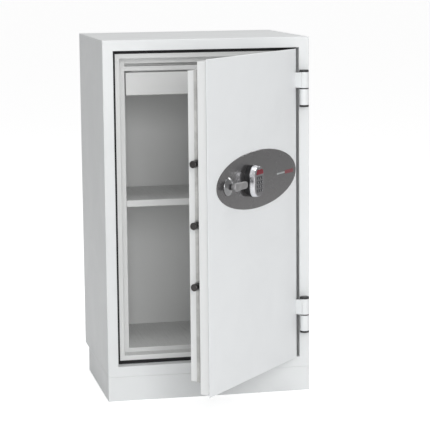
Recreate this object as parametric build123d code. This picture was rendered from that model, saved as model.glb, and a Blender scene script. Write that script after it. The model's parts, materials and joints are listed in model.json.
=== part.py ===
from build123d import *
import os
from math import cos, radians, sin

os.makedirs("parts", exist_ok=True)

# Upright fire-resistant document cabinet, drawn with its door standing ajar.
# Millimetres. +X is to the right of someone facing the door, +Y runs to the back, +Z is up.
# The origin is on the floor, under the middle of the cabinet body.

# ---- overall sizes ----
WIDTH = 640.0
HEIGHT = 1110.0
DEPTH = 515.0
PLINTH_HEIGHT = 76.0
PLINTH_SETBACK = 81.0
DOOR_OPEN = 49.6

# ---- sheet metal ----
CASE_SHEET = 1.5
JAMB_SHEET = 2.0
LINER_SHEET = 1.0
CASE_CORNER = 2.5
SEAM_BEVEL = 1.0

# ---- door opening and its two stepped ledges ----
MARGIN = 32.5
DOOR_GAP = 3.0
LEDGE = 26.0
INNER_LEDGE_SIDE = 21.0
INNER_LEDGE_TOP = 17.0
INNER_LEDGE_BOTTOM = 12.5
SEAL_WIDTH = 11.0
SEAL_THICKNESS = 3.0
TOUCH_GAP = 0.3
LEDGE_ROUND = 3.0
BACK_WALL = 79.0

# ---- door ----
SKIN = 2.0
GROOVE_DEPTH = 3.0
GROOVE_INSET = 12.0
BAND_INSET = 6.0
BAND_DEPTH = 33.0
PLUG_INSET = 34.5
PLUG_CLEARANCE = 3.0
DOOR_SHEET = 1.5
BOARD_PROUD = 5.0
INNER_BOARD = 15.0
PLUG_SEAL_WIDTH = 10.0
PLUG_SEAL_THICKNESS = 1.5

# ---- hinges ----
HINGE_FROM_SIDE = 21.4
HINGE_PROUD = 20.5
KNUCKLE_RADIUS = 14.2
KNUCKLE_LENGTH = 48.5
PIN_RADIUS = 6.0
PIN_CLEARANCE = 0.05
WASHER_THICKNESS = 3.6
WASHER_PLAY = 0.1
HINGE_CAP = 6.5
LEAF_THICKNESS = 4.8
LEAF_DEPTH = 28.0
HINGE_FROM_TOP = 157.0
HINGE_FROM_FLOOR = 247.0

# ---- lock furniture, measured on the door from its free edge and its bottom edge ----
PLATE_SIDE_GAP = 29.0
PLATE_OFF_CENTRE = 21.5
PLATE_UP = 171.0
PLATE_V = 594.0
PLATE_THICKNESS = 2.0
HANDLE_U = 118.0
HANDLE_V = 593.0
HANDLE_REACH = 65.0
HANDLE_WIDTH = 22.0
HANDLE_TURN = 80.0
KEYPAD_U = 252.0
KEYPAD_V = 594.5
KEYPAD_WIDTH = 62.0
KEYPAD_HEIGHT = 95.0
KEYPAD_PROUD = 36.0

# ---- bolts ----
BOLT_HEIGHTS = (315.0, 491.0, 667.0)
BOLT_RADIUS = 10.5
BOLT_TIP = 5.0
BOLT_TRAVEL = 28.0
COLLAR_WALL = 3.0
COLLAR_THICKNESS = 6.0
PLATE_SHEET = 2.0
BOLT_TO_PLATE = 0.5

# ---- shelf and header ----
SHELF_TOP = 610.0
SHELF_LIP = 20.0
SHELF_SHEET = 1.2
SHELF_SETBACK = 14.0
SHELF_BACK_GAP = 16.0
HEADER_DROP = 70.0
HEADER_SETBACK = 11.0
RAIL_SETBACK = 8.0
RAIL_LIP = 14.0
RAIL_TOP_GAP = 9.5
HEADER_TO_RAIL = 5.0

# ---- positions that follow from the sizes above ----
HALF = WIDTH / 2
FRONT = -DEPTH / 2
OPEN_HALF = HALF - MARGIN
OPEN_LOW = PLINTH_HEIGHT + MARGIN
OPEN_HIGH = HEIGHT - MARGIN
OUTER_BOARD_END = BAND_DEPTH + BOARD_PROUD
BOLT_DEPTH = OUTER_BOARD_END + PLATE_SHEET + BOLT_TO_PLATE + BOLT_RADIUS
COLLAR_RADIUS = BOLT_RADIUS + COLLAR_WALL
INNER_BOARD_START = BOLT_DEPTH + COLLAR_RADIUS
DOOR_THICKNESS = INNER_BOARD_START + INNER_BOARD + DOOR_SHEET
LEDGE_Y = BAND_DEPTH + SEAL_THICKNESS + TOUCH_GAP
INNER_LEDGE_Y = DOOR_THICKNESS + PLUG_CLEARANCE
STEP_HALF = OPEN_HALF - LEDGE
STEP_LOW = OPEN_LOW + LEDGE
STEP_HIGH = OPEN_HIGH - LEDGE
ROOM_HALF = STEP_HALF - INNER_LEDGE_SIDE
ROOM_LOW = STEP_LOW + INNER_LEDGE_BOTTOM
ROOM_HIGH = STEP_HIGH - INNER_LEDGE_TOP
ROOM_FRONT = INNER_LEDGE_Y + JAMB_SHEET
ROOM_BACK = DEPTH - BACK_WALL
DOOR_WIDTH = 2 * (OPEN_HALF - DOOR_GAP)
DOOR_HEIGHT = OPEN_HIGH - OPEN_LOW - 2 * DOOR_GAP
DOOR_X = -OPEN_HALF + DOOR_GAP
DOOR_Z = OPEN_LOW + DOOR_GAP
HINGE_X = HALF - HINGE_FROM_SIDE
HINGE_Y = FRONT - HINGE_PROUD
HINGE_ZS = (HINGE_FROM_FLOOR, HEIGHT - HINGE_FROM_TOP)
PLINTH_DEPTH = DEPTH - PLINTH_SETBACK
SHELF_FRONT = ROOM_FRONT + SHELF_SETBACK
SHELF_BACK = ROOM_BACK - SHELF_BACK_GAP
RAIL_HIGH = ROOM_HIGH - RAIL_TOP_GAP
RAIL_LOW = RAIL_HIGH - RAIL_LIP
HEADER_TOP = RAIL_LOW - HEADER_TO_RAIL
HEADER_BOTTOM = HEADER_TOP - HEADER_DROP
PLATE_HALF = DOOR_WIDTH / 2 - PLATE_SIDE_GAP
PLATE_U = DOOR_WIDTH / 2 + PLATE_OFF_CENTRE


def slab(x0, x1, y0, y1, z0, z1):
    """A rectangular block between two opposite corners; y is counted back from the front face."""
    middle = Pos((x0 + x1) / 2, FRONT + (y0 + y1) / 2, (z0 + z1) / 2)
    return middle * Box(x1 - x0, y1 - y0, z1 - z0)


def rod_z(x, y, z0, z1, radius):
    """An upright round bar."""
    return Pos(x, FRONT + y, (z0 + z1) / 2) * Cylinder(radius, z1 - z0)


def rod_y(x, z, y0, y1, radius):
    """A round bar running front to back."""
    return Pos(x, FRONT + (y0 + y1) / 2, z) * Rot(90, 0, 0) * Cylinder(radius, y1 - y0)


def rod_x(y, z, x0, x1, radius):
    """A round bar running left to right."""
    return Pos((x0 + x1) / 2, FRONT + y, z) * Rot(0, 90, 0) * Cylinder(radius, x1 - x0)


def door_slab(u0, u1, v0, v1, t0, t1):
    """A block on the shut door: u from the free edge, v up from the bottom, t in from the face."""
    return slab(DOOR_X + u0, DOOR_X + u1, t0, t1, DOOR_Z + v0, DOOR_Z + v1)


def door_ring(inset_out, inset_in, t0, t1):
    """A rectangular ring that follows the door's outline."""
    outer = door_slab(inset_out, DOOR_WIDTH - inset_out, inset_out, DOOR_HEIGHT - inset_out, t0, t1)
    inner = door_slab(inset_in, DOOR_WIDTH - inset_in, inset_in, DOOR_HEIGHT - inset_in, t0, t1)
    return outer - inner


def door_rod(u, v, t0, t1, radius):
    """A round bar square to the door's face."""
    return rod_y(DOOR_X + u, DOOR_Z + v, t0, t1, radius)


def door_crossbar(v, t, u0, u1, radius):
    """A round bar lying across the door's width."""
    return rod_x(t, DOOR_Z + v, DOOR_X + u0, DOOR_X + u1, radius)


def door_profile(sketch, u, v, t_back, t_front):
    """A flat outline on the door, raised from t_back out to t_front."""
    raised = extrude(sketch, amount=t_back - t_front)
    return Pos(DOOR_X + u, FRONT + t_back, DOOR_Z + v) * Rot(90, 0, 0) * raised


def edges_at(shape, y, half, low, high):
    """The edges of a shape that lie at depth y, inside a rectangle between two heights."""
    tiny = 0.01
    level = shape.edges().filter_by_position(Axis.Y, FRONT + y - tiny, FRONT + y + tiny)
    across = [e for e in level if abs(e.center().X) < half + tiny]
    return [e for e in across if low - tiny < e.center().Z < high + tiny]


def save(name, solids, on_door=False):
    """Write one named piece, or a group of like pieces, turned with the door if it rides on it."""
    if not isinstance(solids, (list, tuple)):
        solids = [solids]
    placed = []
    for solid in solids:
        if on_door:
            solid = solid.rotate(Axis((HINGE_X, HINGE_Y, 0), (0, 0, 1)), DOOR_OPEN)
        placed.extend(solid.solids())
    shape = placed[0] if len(placed) == 1 else Compound(children=placed)
    export_step(shape, f"parts/{name}.step")


# ---- outer case: folded sheet sides, top and bottom, with the front frame turned in ----
case = slab(-HALF, HALF, 0, DEPTH, PLINTH_HEIGHT, HEIGHT)
upright_edges = case.edges().filter_by(Axis.Z)
top_edges = case.faces().sort_by(Axis.Z)[-1].edges()
case = fillet(upright_edges + top_edges, CASE_CORNER)
low_edges = case.faces().sort_by(Axis.Z)[0].edges()
case = chamfer(low_edges, SEAM_BEVEL)
INNER_HALF = HALF - CASE_SHEET
CASE_LOW = PLINTH_HEIGHT + CASE_SHEET
CASE_HIGH = HEIGHT - CASE_SHEET
case_inside = slab(-INNER_HALF, INNER_HALF, CASE_SHEET, DEPTH + 1, CASE_LOW, CASE_HIGH)
opening = slab(-OPEN_HALF, OPEN_HALF, -1, LEDGE_Y, OPEN_LOW, OPEN_HIGH)
turn_in = slab(
    -OPEN_HALF - CASE_SHEET, OPEN_HALF + CASE_SHEET, 0, LEDGE_Y, OPEN_LOW - CASE_SHEET, OPEN_HIGH + CASE_SHEET
)
body_shell = case - case_inside + turn_in - opening
RIM_BEVEL = 0.8
body_shell = chamfer(edges_at(body_shell, 0, OPEN_HALF, OPEN_LOW, OPEN_HIGH), RIM_BEVEL)
save("body_shell", body_shell)

# ---- back cover and its screws ----
rear_cover = slab(-INNER_HALF, INNER_HALF, DEPTH - CASE_SHEET, DEPTH, CASE_LOW, CASE_HIGH)
SCREW_EDGE = 14.0
SCREW_ROWS = 5
SCREW_HOLE = 2.3
SCREW_LENGTH = 13.0
screw_spots = []
for row in range(SCREW_ROWS):
    z = PLINTH_HEIGHT + SCREW_EDGE + row * (HEIGHT - PLINTH_HEIGHT - 2 * SCREW_EDGE) / (SCREW_ROWS - 1)
    screw_spots.append((-HALF + SCREW_EDGE, z))
    screw_spots.append((HALF - SCREW_EDGE, z))
for z in (PLINTH_HEIGHT + SCREW_EDGE, HEIGHT - SCREW_EDGE):
    screw_spots.append((0, z))
screw_holes = [rod_y(x, z, DEPTH - SCREW_LENGTH - 3, DEPTH + 1, SCREW_HOLE) for x, z in screw_spots]


def pan_screw_y(x, z, face, length, head_radius=4.5, shank=2.0):
    """A pan-head screw driven forward from a face at depth `face`."""
    head = rod_y(x, z, face, face + 2.6, head_radius)
    head = fillet(head.faces().sort_by(Axis.Y)[-1].edges(), 1.4)
    slot = slab(x - 0.5, x + 0.5, face + 1.4, face + 3, z - 2.8, z + 2.8)
    cross = slab(x - 2.8, x + 2.8, face + 1.4, face + 3, z - 0.5, z + 0.5)
    return head + rod_y(x, z, face - length, face, shank) - slot - cross


save("rear_cover", rear_cover - screw_holes)
save("rear_screws", [pan_screw_y(x, z, DEPTH, SCREW_LENGTH) for x, z in screw_spots])

# ---- cast fire-resistant filling between the case and the lining ----
bolt_levels = [DOOR_Z + v for v in BOLT_HEIGHTS]
POCKET_RADIUS = BOLT_RADIUS + 2.0
POCKET_DEPTH = 29.0
pockets = [rod_x(BOLT_DEPTH, z, -STEP_HALF - POCKET_DEPTH, -STEP_HALF + 1, POCKET_RADIUS) for z in bolt_levels]
filling = slab(-INNER_HALF, INNER_HALF, CASE_SHEET, DEPTH - CASE_SHEET, CASE_LOW, CASE_HIGH)
filling -= slab(
    -OPEN_HALF - CASE_SHEET, OPEN_HALF + CASE_SHEET, 0, LEDGE_Y + JAMB_SHEET,
    OPEN_LOW - CASE_SHEET, OPEN_HIGH + CASE_SHEET
)
filling -= slab(
    -STEP_HALF - JAMB_SHEET, STEP_HALF + JAMB_SHEET, LEDGE_Y, ROOM_FRONT,
    STEP_LOW - JAMB_SHEET, STEP_HIGH + JAMB_SHEET
)
filling -= slab(
    -ROOM_HALF - LINER_SHEET, ROOM_HALF + LINER_SHEET, ROOM_FRONT - 1, ROOM_BACK + LINER_SHEET,
    ROOM_LOW - LINER_SHEET, ROOM_HIGH + LINER_SHEET
)
save("wall_filling", filling - pockets - screw_holes)

# ---- stepped jamb: two ledges facing the door, pressed in one ring ----
jamb = slab(
    -OPEN_HALF - CASE_SHEET, OPEN_HALF + CASE_SHEET, LEDGE_Y, LEDGE_Y + JAMB_SHEET,
    OPEN_LOW - CASE_SHEET, OPEN_HIGH + CASE_SHEET
)
jamb += slab(
    -STEP_HALF - JAMB_SHEET, STEP_HALF + JAMB_SHEET, LEDGE_Y, ROOM_FRONT,
    STEP_LOW - JAMB_SHEET, STEP_HIGH + JAMB_SHEET
)
step_hole = slab(-STEP_HALF, STEP_HALF, LEDGE_Y - 20, INNER_LEDGE_Y, STEP_LOW, STEP_HIGH)
room_hole = slab(-ROOM_HALF, ROOM_HALF, LEDGE_Y - 20, ROOM_FRONT + 1, ROOM_LOW, ROOM_HIGH)
jamb = jamb - step_hole - room_hole
jamb = fillet(edges_at(jamb, LEDGE_Y, STEP_HALF, STEP_LOW, STEP_HIGH), LEDGE_ROUND)
save("jamb_frame", jamb - pockets)

# ---- black seal lying on the outer ledge, right round the opening ----
seal = slab(-OPEN_HALF, OPEN_HALF, LEDGE_Y - SEAL_THICKNESS, LEDGE_Y, OPEN_LOW, OPEN_HIGH)
seal -= slab(
    -OPEN_HALF + SEAL_WIDTH, OPEN_HALF - SEAL_WIDTH, LEDGE_Y - SEAL_THICKNESS, LEDGE_Y,
    OPEN_LOW + SEAL_WIDTH, OPEN_HIGH - SEAL_WIDTH
)
save("frame_seal", seal)

# ---- sheet lining of the storage space ----
liner = slab(
    -ROOM_HALF - LINER_SHEET, ROOM_HALF + LINER_SHEET, ROOM_FRONT, ROOM_BACK + LINER_SHEET,
    ROOM_LOW - LINER_SHEET, ROOM_HIGH + LINER_SHEET
)
liner -= slab(-ROOM_HALF, ROOM_HALF, ROOM_FRONT - 1, ROOM_BACK, ROOM_LOW, ROOM_HIGH)
save("inner_liner", liner)

# ---- steel tubes that line the three bolt holes in the jamb ----
SLEEVE_LENGTH = 26.0
SLEEVE_RADIUS = POCKET_RADIUS - 0.1
SLEEVE_BORE = SLEEVE_RADIUS - 1.3
sleeves = []
for z in bolt_levels:
    tube = rod_x(BOLT_DEPTH, z, -STEP_HALF - SLEEVE_LENGTH, -STEP_HALF, SLEEVE_RADIUS)
    bore = rod_x(BOLT_DEPTH, z, -STEP_HALF - SLEEVE_LENGTH - 1, -STEP_HALF + 1, SLEEVE_BORE)
    sleeves.append(tube - bore)
save("strike_sleeves", sleeves)

# ---- plinth: folded skirt, flush at the front and sides and set in at the back ----
PLINTH_FLANGE = 22.0
flange_half = HALF - PLINTH_FLANGE
flange_back = PLINTH_DEPTH - PLINTH_FLANGE
plinth_back = PLINTH_DEPTH - CASE_SHEET
plinth = slab(-HALF, HALF, 0, PLINTH_DEPTH, 0, PLINTH_HEIGHT)
plinth = fillet(plinth.edges().filter_by(Axis.Z), CASE_CORNER)
plinth = chamfer(plinth.faces().sort_by(Axis.Z)[-1].edges(), SEAM_BEVEL)
plinth -= slab(-INNER_HALF, INNER_HALF, CASE_SHEET, plinth_back, -1, PLINTH_HEIGHT - CASE_SHEET)
plinth -= slab(-flange_half, flange_half, PLINTH_FLANGE, flange_back, 1, PLINTH_HEIGHT + 1)
save("plinth", plinth)
base_pan = slab(-INNER_HALF, INNER_HALF, CASE_SHEET, plinth_back, 0, CASE_SHEET)
save("base_pan", base_pan)

# ---- four slotted shelf strips and the clips hooked into them ----
STRIP_WIDTH = 18.0
STRIP_THICKNESS = 2.0
SLOT_PITCH = 50.0
SLOT_WIDTH = 6.0
SLOT_HEIGHT = 12.0
CLIP_WIDTH = 14.0
CLIP_REACH = 12.0
CLIP_DROP = 18.0
CLIP_SHEET = 2.0
CLIP_PLAY = 0.3
STRIP_INSET = 40.0
strip_low = ROOM_LOW + 30
strip_high = HEADER_BOTTOM - 20
shelf_seat = SHELF_TOP - SHELF_LIP
slot_middle = shelf_seat - 10
strips = []
clips = []
for side in (-1, 1):
    wall = side * ROOM_HALF
    face = side * (ROOM_HALF - STRIP_THICKNESS)
    for y in (SHELF_FRONT + STRIP_INSET, SHELF_BACK - STRIP_INSET):
        strip_half = STRIP_WIDTH / 2
        strip = slab(min(wall, face), max(wall, face), y - strip_half, y + strip_half, strip_low, strip_high)
        first = slot_middle - SLOT_PITCH * int((slot_middle - strip_low - SLOT_HEIGHT) / SLOT_PITCH)
        count = int((strip_high - SLOT_HEIGHT - first) / SLOT_PITCH) + 1
        for n in range(count):
            z = first + n * SLOT_PITCH
            strip -= slab(
                min(wall, face) - 1, max(wall, face) + 1, y - SLOT_WIDTH / 2, y + SLOT_WIDTH / 2,
                z - SLOT_HEIGHT / 2, z + SLOT_HEIGHT / 2
            )
        strips.append(strip)
        inner = side * (ROOM_HALF - STRIP_THICKNESS - CLIP_REACH)
        tray = slab(
            min(face, inner), max(face, inner), y - CLIP_WIDTH / 2, y + CLIP_WIDTH / 2,
            shelf_seat - CLIP_SHEET, shelf_seat
        )
        stem_in = side * (ROOM_HALF - STRIP_THICKNESS - CLIP_SHEET)
        stem = slab(
            min(face, stem_in), max(face, stem_in), y - CLIP_WIDTH / 2, y + CLIP_WIDTH / 2,
            shelf_seat - CLIP_DROP, shelf_seat
        )
        hook_out = side * (ROOM_HALF - 0.2)
        hook_half = SLOT_WIDTH / 2 - CLIP_PLAY
        hook = slab(
            min(hook_out, stem_in), max(hook_out, stem_in), y - hook_half, y + hook_half,
            slot_middle - SLOT_HEIGHT / 2 + CLIP_PLAY, slot_middle + SLOT_HEIGHT / 2 - 2
        )
        clips.append(tray + stem + hook)
save("shelf_strips", strips)
save("shelf_clips", clips)

# ---- steel shelf with all four edges folded down ----
SHELF_SIDE_GAP = 1.0
FOLD_ROUND = 1.8
shelf_half = ROOM_HALF - STRIP_THICKNESS - SHELF_SIDE_GAP
shelf = slab(-shelf_half, shelf_half, SHELF_FRONT, SHELF_BACK, shelf_seat, SHELF_TOP)
shelf = fillet(shelf.faces().sort_by(Axis.Z)[-1].edges(), FOLD_ROUND)
shelf -= slab(
    -shelf_half + SHELF_SHEET, shelf_half - SHELF_SHEET, SHELF_FRONT + SHELF_SHEET, SHELF_BACK - SHELF_SHEET,
    shelf_seat - 1, SHELF_TOP - SHELF_SHEET
)
save("shelf", shelf)

# ---- header: a folded panel hung from a rail across the top of the storage space ----
HEADER_SIDE_GAP = 5.5
HEADER_RETURN = 22.0
RAIL_DEPTH = 26.0
RAIL_FLANGE = 20.0
TAB_INSET = 20.0
sheet = SHELF_SHEET
rail_y = ROOM_FRONT + RAIL_SETBACK
rail_back = rail_y + RAIL_DEPTH
rail_half = ROOM_HALF - 1
rail = slab(-rail_half, rail_half, rail_y, rail_y + sheet, RAIL_LOW, RAIL_HIGH)
rail += slab(-rail_half, rail_half, rail_y, rail_back, RAIL_HIGH - sheet, RAIL_HIGH)
rail += slab(-rail_half, rail_half, rail_back - sheet, rail_back, RAIL_HIGH - sheet, ROOM_HIGH)
rail += slab(-rail_half, rail_half, rail_back - sheet, rail_back + RAIL_FLANGE, ROOM_HIGH - sheet, ROOM_HIGH)
save("header_rail", rail)
header_y = ROOM_FRONT + HEADER_SETBACK
header_back = header_y + HEADER_RETURN
header_half = ROOM_HALF - HEADER_SIDE_GAP
header = slab(-header_half, header_half, header_y, header_back, HEADER_BOTTOM, HEADER_TOP)
header = fillet(header.faces().sort_by(Axis.Y)[0].edges(), FOLD_ROUND)
header -= slab(
    -header_half + sheet, header_half - sheet, header_y + sheet, header_back + 1,
    HEADER_BOTTOM + sheet, HEADER_TOP - sheet
)
tab_half = header_half - TAB_INSET
header += slab(-tab_half, tab_half, header_back - sheet, header_back, HEADER_TOP - sheet, RAIL_HIGH - sheet)
save("header_panel", header)

# ---- hinges: lift-off barrels, the lower half on the frame and the upper half on the door ----
BRACKET_HALF = 9.0
WEB_THICKNESS = 6.5
PIN_SHORT = 3.0
CAP_ROUND = 2.0
bore_radius = PIN_RADIUS + PIN_CLEARANCE
cap_radius = KNUCKLE_RADIUS + 0.3
y = -HINGE_PROUD
band_side = DOOR_X + DOOR_WIDTH - BAND_INSET
frame_leaves = []
door_leaves = []
pins = []
washers = []
low_caps = []
high_caps = []
for z in HINGE_ZS:
    low = z - WASHER_THICKNESS / 2
    high = z + WASHER_THICKNESS / 2 + WASHER_PLAY
    bottom = low - KNUCKLE_LENGTH
    top = high + KNUCKLE_LENGTH
    knuckle = rod_z(HINGE_X, y, bottom, low, KNUCKLE_RADIUS)
    bracket = slab(HINGE_X - BRACKET_HALF, HINGE_X + BRACKET_HALF, y, 0, bottom + 2, low - 2)
    frame_leaves.append(knuckle + bracket - rod_z(HINGE_X, y, bottom - 1, low + 1, bore_radius))
    knuckle = rod_z(HINGE_X, y, high, top, KNUCKLE_RADIUS)
    web = slab(band_side, HINGE_X, y, y + WEB_THICKNESS, high + 1, top - 1)
    leaf = slab(band_side, band_side + LEAF_THICKNESS, y, LEAF_DEPTH, high + 1, top - 1)
    door_leaves.append(knuckle + web + leaf - rod_z(HINGE_X, y, high - 1, top + 1, bore_radius))
    pins.append(rod_z(HINGE_X, y, bottom, top - PIN_SHORT, PIN_RADIUS))
    washer = rod_z(HINGE_X, y, low, low + WASHER_THICKNESS, KNUCKLE_RADIUS - 0.3)
    washers.append(washer - rod_z(HINGE_X, y, low - 1, high + 1, PIN_RADIUS + 0.3))
    cap = rod_z(HINGE_X, y, bottom - HINGE_CAP, bottom, cap_radius)
    low_caps.append(fillet(cap.faces().sort_by(Axis.Z)[0].edges(), CAP_ROUND))
    cap = rod_z(HINGE_X, y, top, top + HINGE_CAP, cap_radius)
    high_caps.append(fillet(cap.faces().sort_by(Axis.Z)[-1].edges(), CAP_ROUND))
save("hinge_frame_leaves", frame_leaves)
save("hinge_pins", pins)
save("hinge_washers", washers)
save("hinge_lower_caps", low_caps)
save("hinge_door_leaves", door_leaves, on_door=True)
save("hinge_upper_caps", high_caps, on_door=True)

# ---- door skin: flat outer plate, notched where the hinge leaves pass ----
SPINDLE_HOLE = 7.5
CABLE_HOLE = 4.0
CABLE_V = KEYPAD_V + KEYPAD_HEIGHT / 2 - 6.0
SKIN_ROUND = 1.2
NOTCH_GAP = 0.5
skin = door_slab(0, DOOR_WIDTH, 0, DOOR_HEIGHT, 0, SKIN)
skin = fillet(skin.faces().sort_by(Axis.Y)[0].edges(), SKIN_ROUND)
for z in HINGE_ZS:
    low = z + WASHER_THICKNESS / 2 + WASHER_PLAY
    skin -= slab(band_side - NOTCH_GAP, DOOR_X + DOOR_WIDTH + 1, -1, SKIN + 1, low, low + KNUCKLE_LENGTH)
hole_front = -PLATE_THICKNESS - 5
hole_back = OUTER_BOARD_END + PLATE_SHEET + 1
spindle_way = door_rod(HANDLE_U, HANDLE_V, hole_front, hole_back, SPINDLE_HOLE)
cable_way = door_rod(KEYPAD_U, CABLE_V, hole_front, hole_back, CABLE_HOLE)
save("door_skin", skin - spindle_way - cable_way, on_door=True)

# ---- door band: the folded pan behind the skin, with a shadow groove between them ----
groove_end = SKIN + GROOVE_DEPTH
neck = door_ring(GROOVE_INSET, GROOVE_INSET + DOOR_SHEET, SKIN, groove_end + DOOR_SHEET)
front_flange = door_ring(BAND_INSET, GROOVE_INSET + DOOR_SHEET, groove_end, groove_end + DOOR_SHEET)
side_band = door_ring(BAND_INSET, BAND_INSET + DOOR_SHEET, groove_end, BAND_DEPTH)
back_flange = door_ring(BAND_INSET, PLUG_INSET + DOOR_SHEET, BAND_DEPTH - DOOR_SHEET, BAND_DEPTH)
save("door_band", neck + front_flange + side_band + back_flange, on_door=True)

# ---- fire-resistant board that fills the band ----
inset = GROOVE_INSET + DOOR_SHEET
board = door_slab(inset, DOOR_WIDTH - inset, inset, DOOR_HEIGHT - inset, SKIN, groove_end + DOOR_SHEET)
inset = BAND_INSET + DOOR_SHEET
board += door_slab(
    inset, DOOR_WIDTH - inset, inset, DOOR_HEIGHT - inset, groove_end + DOOR_SHEET, BAND_DEPTH - DOOR_SHEET
)
inset = PLUG_INSET + DOOR_SHEET
board += door_slab(
    inset, DOOR_WIDTH - inset, inset, DOOR_HEIGHT - inset, BAND_DEPTH - DOOR_SHEET, OUTER_BOARD_END
)
save("door_filling", board - spindle_way - cable_way, on_door=True)

# ---- inner cover: the plug that enters the opening, with a second board inside it ----
COLLAR_HOLE = COLLAR_RADIUS - 1.0
COVER_ROUND = 3.0
COVER_SCREW_INSET = 62.0
COVER_SCREW_ROWS = 4
COVER_SCREW_LENGTH = 9.0
COVER_PLAY = 1.6
collar_holes = [door_crossbar(v, BOLT_DEPTH, PLUG_INSET - 1, PLUG_INSET + 3, COLLAR_HOLE) for v in BOLT_HEIGHTS]
cover = door_slab(
    PLUG_INSET, DOOR_WIDTH - PLUG_INSET, PLUG_INSET, DOOR_HEIGHT - PLUG_INSET, BAND_DEPTH, DOOR_THICKNESS
)
cover = fillet(cover.faces().sort_by(Axis.Y)[-1].edges(), COVER_ROUND)
inset = PLUG_INSET + DOOR_SHEET
cover -= door_slab(
    inset, DOOR_WIDTH - inset, inset, DOOR_HEIGHT - inset, BAND_DEPTH - 1, DOOR_THICKNESS - DOOR_SHEET
)
cover_spots = []
for row in range(COVER_SCREW_ROWS):
    v = COVER_SCREW_INSET + row * (DOOR_HEIGHT - 2 * COVER_SCREW_INSET) / (COVER_SCREW_ROWS - 1)
    cover_spots.append((COVER_SCREW_INSET, v))
    cover_spots.append((DOOR_WIDTH - COVER_SCREW_INSET, v))
hole_start = DOOR_THICKNESS - COVER_SCREW_LENGTH - 3
cover_holes = [door_rod(u, v, hole_start, DOOR_THICKNESS + 1, SCREW_HOLE) for u, v in cover_spots]
save("inner_cover", cover - collar_holes - cover_holes, on_door=True)
inset = PLUG_INSET + DOOR_SHEET + COVER_PLAY
inner_board = door_slab(
    inset, DOOR_WIDTH - inset, inset, DOOR_HEIGHT - inset, INNER_BOARD_START, DOOR_THICKNESS - DOOR_SHEET
)
save("inner_filling", inner_board - cover_holes, on_door=True)
cover_screws = []
for u, v in cover_spots:
    cover_screws.append(pan_screw_y(DOOR_X + u, DOOR_Z + v, DOOR_THICKNESS, COVER_SCREW_LENGTH))
save("cover_screws", cover_screws, on_door=True)

# ---- heat-swelling strip round the side of the plug ----
strip_start = BOLT_DEPTH - 1
strip = door_ring(PLUG_INSET - PLUG_SEAL_THICKNESS, PLUG_INSET, strip_start, strip_start + PLUG_SEAL_WIDTH)
for v in BOLT_HEIGHTS:
    strip -= door_crossbar(v, BOLT_DEPTH, PLUG_INSET - 5, PLUG_INSET + 5, COLLAR_RADIUS + 0.5)
save("plug_seal", strip, on_door=True)

# ---- bolt collars: flanged guides in the side of the plug ----
GUIDE_LENGTH = 14.0
COLLAR_ROUND = 1.2
collars = []
for v in BOLT_HEIGHTS:
    flange = door_crossbar(v, BOLT_DEPTH, PLUG_INSET - COLLAR_THICKNESS, PLUG_INSET, COLLAR_RADIUS)
    flange = fillet(flange.faces().sort_by(Axis.X)[0].edges(), COLLAR_ROUND)
    guide = door_crossbar(v, BOLT_DEPTH, PLUG_INSET, PLUG_INSET + GUIDE_LENGTH, COLLAR_HOLE - 0.1)
    bore = door_crossbar(v, BOLT_DEPTH, PLUG_INSET - 9, PLUG_INSET + 20, BOLT_RADIUS + TOUCH_GAP)
    collars.append(flange + guide - bore)
save("bolt_collars", collars, on_door=True)

# ---- live bolts, the bar that carries them, and their nuts ----
BAR_U = 64.0
BAR_SHEET = 4.0
STUD_RADIUS = 4.0
STUD_LENGTH = 12.0
NUT_RADIUS = 7.5
NUT_THICKNESS = 6.5
BOLT_ROUND = 1.5
CRANK = BOLT_TRAVEL / 2 / sin(radians(HANDLE_TURN / 2))
CRANK_PIN = 4.0
bolts = []
nuts = []
for v in BOLT_HEIGHTS:
    bolt = door_crossbar(v, BOLT_DEPTH, BOLT_TIP, BAR_U, BOLT_RADIUS)
    bolt = fillet(bolt.faces().sort_by(Axis.X)[0].edges(), BOLT_ROUND)
    bolt += door_crossbar(v, BOLT_DEPTH, BAR_U, BAR_U + STUD_LENGTH, STUD_RADIUS)
    bolts.append(bolt)
    nut = extrude(RegularPolygon(NUT_RADIUS, 6), amount=NUT_THICKNESS)
    nut = Pos(DOOR_X + BAR_U + BAR_SHEET, FRONT + BOLT_DEPTH, DOOR_Z + v) * Rot(0, 90, 0) * nut
    nuts.append(nut - door_crossbar(v, BOLT_DEPTH, BAR_U, BAR_U + STUD_LENGTH + 2, STUD_RADIUS + 0.1))
save("live_bolts", bolts, on_door=True)
save("bolt_nuts", nuts, on_door=True)
ARM_T = BOLT_DEPTH + 2.0
ARM_SHEET = 4.0
ARM_END = 28.0
BAR_HALF = 9.0
BAR_OVERHANG = 16.0
ARM_OVERHANG = 9.0
SLOT_PLAY = 0.9
arm_back = ARM_T + ARM_SHEET
arm_low = HANDLE_V + SPINDLE_HOLE
arm_high = HANDLE_V + CRANK + CRANK_PIN + ARM_OVERHANG
slot_u = HANDLE_U - BOLT_TRAVEL / 2
slot_half = CRANK_PIN + SLOT_PLAY
slot_low = HANDLE_V + CRANK * cos(radians(HANDLE_TURN / 2)) - CRANK_PIN - 1
slot_high = HANDLE_V + CRANK + CRANK_PIN + 1
bar_low = BOLT_HEIGHTS[0] - BAR_OVERHANG
bar_high = BOLT_HEIGHTS[-1] + BAR_OVERHANG
bar = door_slab(BAR_U, BAR_U + BAR_SHEET, bar_low, bar_high, BOLT_DEPTH - BAR_HALF, BOLT_DEPTH + BAR_HALF)
bar += door_slab(BAR_U, slot_u + ARM_END, arm_low, arm_high, ARM_T, arm_back)
bar -= door_slab(slot_u - slot_half, slot_u + slot_half, slot_low, slot_high, ARM_T - 1, arm_back + 1)
for v in BOLT_HEIGHTS:
    bar -= door_crossbar(v, BOLT_DEPTH, BAR_U - 1, BAR_U + BAR_SHEET + 1, STUD_RADIUS + 0.2)
save("bolt_bar", bar, on_door=True)

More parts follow.
